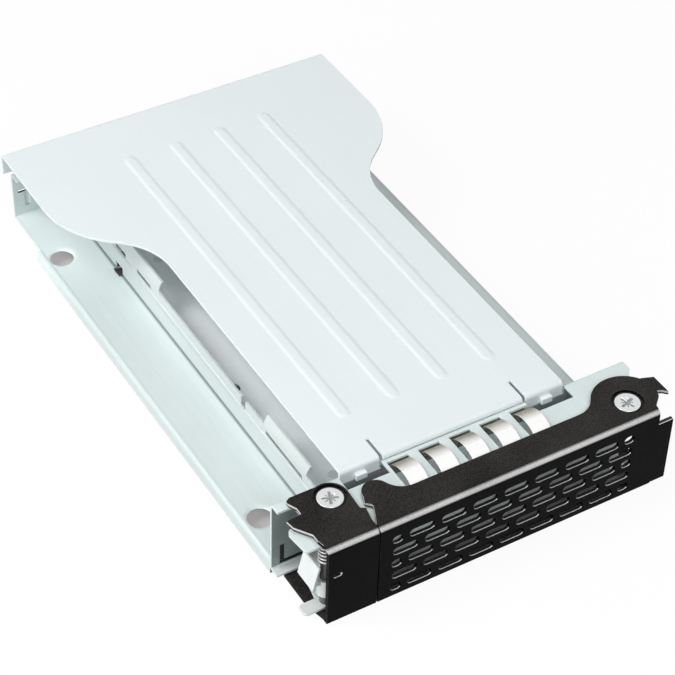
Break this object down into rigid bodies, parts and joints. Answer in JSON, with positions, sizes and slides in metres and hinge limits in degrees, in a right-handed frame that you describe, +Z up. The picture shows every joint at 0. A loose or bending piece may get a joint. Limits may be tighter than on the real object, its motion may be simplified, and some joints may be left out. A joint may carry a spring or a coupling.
{
  "type": "hard drive mobile rack",
  "caption": "Hot-swap carrier for a 2.5-inch drive: folded steel tray with a cradle and T-shaped cover, black slotted front handle on a pivot, short side lever and sprung catch.",
  "frame": {"origin": "middle of the length and width, on the surface the carrier rests on", "axes": "+Y to the rear, +X to the right seen from the front, +Z up"},
  "size_m": [0.1096, 0.1806, 0.0275],
  "materials": {
    "zinc_sheet": "zinc-plated sheet, satin",
    "cover_sheet": "pale plated sheet, satin",
    "bright_steel": "bright plated",
    "spring_steel": "bright spring strip",
    "black_powder": "black powder coat, fine grain"
  },
  "bodies": {
    "carrier": {"tray": "zinc_sheet", "front_bracket": "zinc_sheet", "bracket_rivets": "bright_steel", "drive_cradle": "zinc_sheet", "cradle_rivets": "bright_steel", "top_cover": "cover_sheet", "emi_finger_strip": "spring_steel", "handle_pivot_screw": "bright_steel", "cap_pivot_screw": "bright_steel", "handle_pivot_nut": "bright_steel", "cap_pivot_nut": "bright_steel", "handle_washer": "bright_steel", "cap_washer": "bright_steel", "handle_lower_stud": "bright_steel", "cap_lower_stud": "bright_steel", "catch_post": "bright_steel", "catch_spring": "spring_steel"},
    "handle": {"handle_lever": "black_powder"},
    "cap": {"cap_lever": "black_powder"},
    "catch": {"catch_lever": "bright_steel"}
  },
  "joints": [
    {"name": "handle_swing", "type": "hinge", "parent": "carrier", "child": "handle", "pos_m": [0.0433, -0.0833, 0], "axis": [0, 0, 1], "range_deg": [0, 60]},
    {"name": "cap_swing", "type": "hinge", "parent": "carrier", "child": "cap", "pos_m": [-0.0405, -0.0749, 0], "axis": [0, 0, -1], "range_deg": [0, 10], "stiffness_Nm_per_rad": 0.12, "springref_deg": -5.73, "deforming": ["catch_spring"]},
    {"name": "catch_press", "type": "hinge", "parent": "carrier", "child": "catch", "pos_m": [-0.0471, -0.0847, 0], "axis": [0, 0, -1], "range_deg": [0, 14], "stiffness_Nm_per_rad": 0.03, "springref_deg": -11.46, "deforming": ["catch_spring"]}
  ]
}
